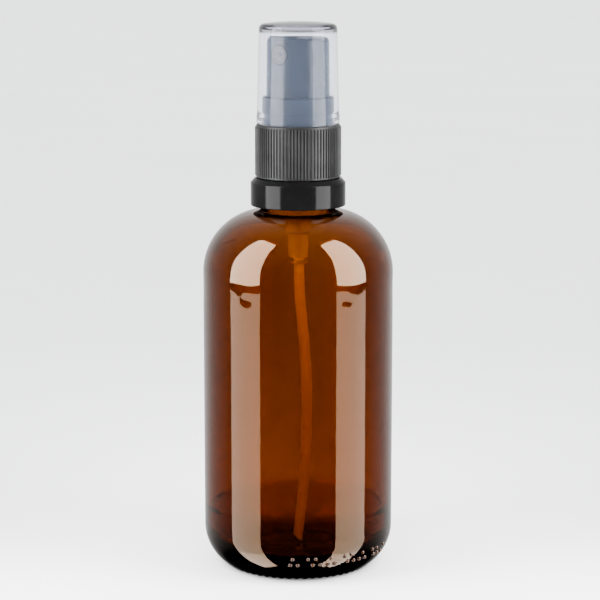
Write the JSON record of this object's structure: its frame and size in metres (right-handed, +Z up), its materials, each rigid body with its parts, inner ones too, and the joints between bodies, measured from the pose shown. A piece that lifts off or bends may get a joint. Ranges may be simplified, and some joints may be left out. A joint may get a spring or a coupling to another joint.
{
  "type": "spray bottle",
  "caption": "Round amber glass bottle with ribbed screw closure, tamper ring, finger-pressed mist pump, dip tube and clear push-on cap.",
  "frame": {"origin": "centre of the base, on the table plane", "axes": "+Z up along the bottle's axis; the nozzle faces -Y"},
  "size_m": [0.047, 0.047, 0.1353],
  "materials": {
    "amber_glass": "amber moulded glass, smooth",
    "black_closure": "black polypropylene, satin, ribbed",
    "black_ring": "black polypropylene, glossy",
    "gasket": "foamed polyethylene liner",
    "natural_plastic": "natural polypropylene, milky",
    "seal_rubber": "nitrile rubber",
    "soft_plastic": "soft polyethylene",
    "spring_steel": "stainless steel",
    "tube_plastic": "translucent polyethylene tube",
    "black_button": "black polypropylene, smooth",
    "clear_plastic": "clear, slightly milky polypropylene"
  },
  "bodies": {
    "bottle": {"bottle": "amber_glass"},
    "ring": {"tamper_ring": "black_ring"},
    "pump": {"pump_housing": "natural_plastic", "housing_cap": "natural_plastic", "neck_gasket": "gasket", "stem_gasket": "seal_rubber", "main_spring": "spring_steel", "dip_tube": "tube_plastic"},
    "closure": {"closure": "black_closure"},
    "cap": {"overcap": "clear_plastic"},
    "stem": {"stem": "natural_plastic", "valve_rod": "natural_plastic", "outlet_spring": "spring_steel"},
    "piston": {"piston": "soft_plastic"},
    "button": {"actuator": "black_button", "nozzle_insert": "black_button"},
    "ball": {"inlet_ball": "spring_steel"}
  },
  "joints": [
    {"name": "closure_turn", "type": "hinge", "parent": "pump", "child": "closure", "pos_m": [0, 0, 0.1], "axis": [0, 0, 1], "range_deg": [0, 540]},
    {"name": "pump_lift", "type": "slide", "parent": "bottle", "child": "pump", "axis": [0, 0, 1], "range_m": [0, 0.0045]},
    {"name": "ring_spin", "type": "hinge", "parent": "bottle", "child": "ring", "pos_m": [0, 0, 0.09], "axis": [0, 0, 1], "continuous": true},
    {"name": "cap_pull", "type": "slide", "parent": "closure", "child": "cap", "axis": [0, 0, 1], "range_m": [0, 0.03]},
    {"name": "button_press", "type": "slide", "parent": "pump", "child": "stem", "axis": [0, 0, -1], "range_m": [0, 0.004], "stiffness_N_per_m": 2500, "springref_m": -0.001, "deforming": ["main_spring"]},
    {"name": "piston_slip", "type": "slide", "parent": "stem", "child": "piston", "axis": [0, 0, 1], "range_m": [0, 0.0005], "stiffness_N_per_m": 4000, "springref_m": -0.0005, "deforming": ["outlet_spring"]},
    {"name": "button_swivel", "type": "hinge", "parent": "stem", "child": "button", "pos_m": [0, 0, 0.12], "axis": [0, 0, 1], "continuous": true},
    {"name": "ball_lift", "type": "slide", "parent": "pump", "child": "ball", "axis": [0, 0, 1], "range_m": [0, 0.0009]}
  ],
  "couplings": [
    {"joint": "pump_lift", "follows": "closure_turn", "m_per_rad": 0.00047746}
  ]
}
